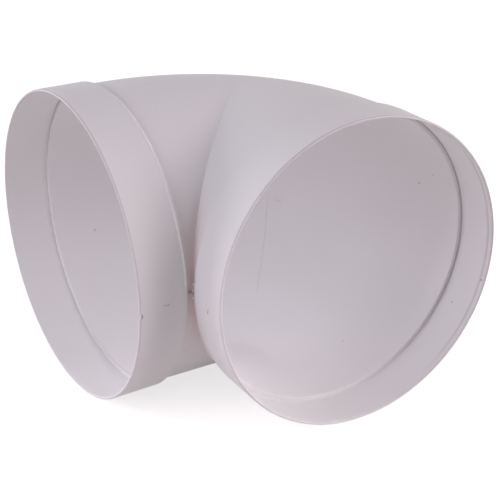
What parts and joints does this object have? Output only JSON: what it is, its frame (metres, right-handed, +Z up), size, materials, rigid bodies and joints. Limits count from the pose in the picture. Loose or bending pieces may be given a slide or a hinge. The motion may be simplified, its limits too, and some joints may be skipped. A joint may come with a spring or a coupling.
{
  "type": "duct elbow",
  "caption": "Right-angle elbow for round ventilation duct, in white plastic: a short body with a sharp mitred throat and a rounded heel, and a push-fit socket with a stop ledge at each end.",
  "frame": {"origin": "on the left socket's axis, at the ledge where the duct that is pushed into it stops", "axes": "-X out of the left socket's mouth, -Y out of the right socket's mouth, +Z up and square to the plane of the bend"},
  "size_m": [0.192, 0.192, 0.164],
  "materials": {
    "socket_plastic": "satin moulded white plastic",
    "bend_plastic": "satin moulded white plastic"
  },
  "bodies": {
    "root": {"left_socket": "socket_plastic", "left_half_bend": "bend_plastic", "right_half_bend": "bend_plastic", "right_socket": "socket_plastic"}
  },
  "joints": []
}
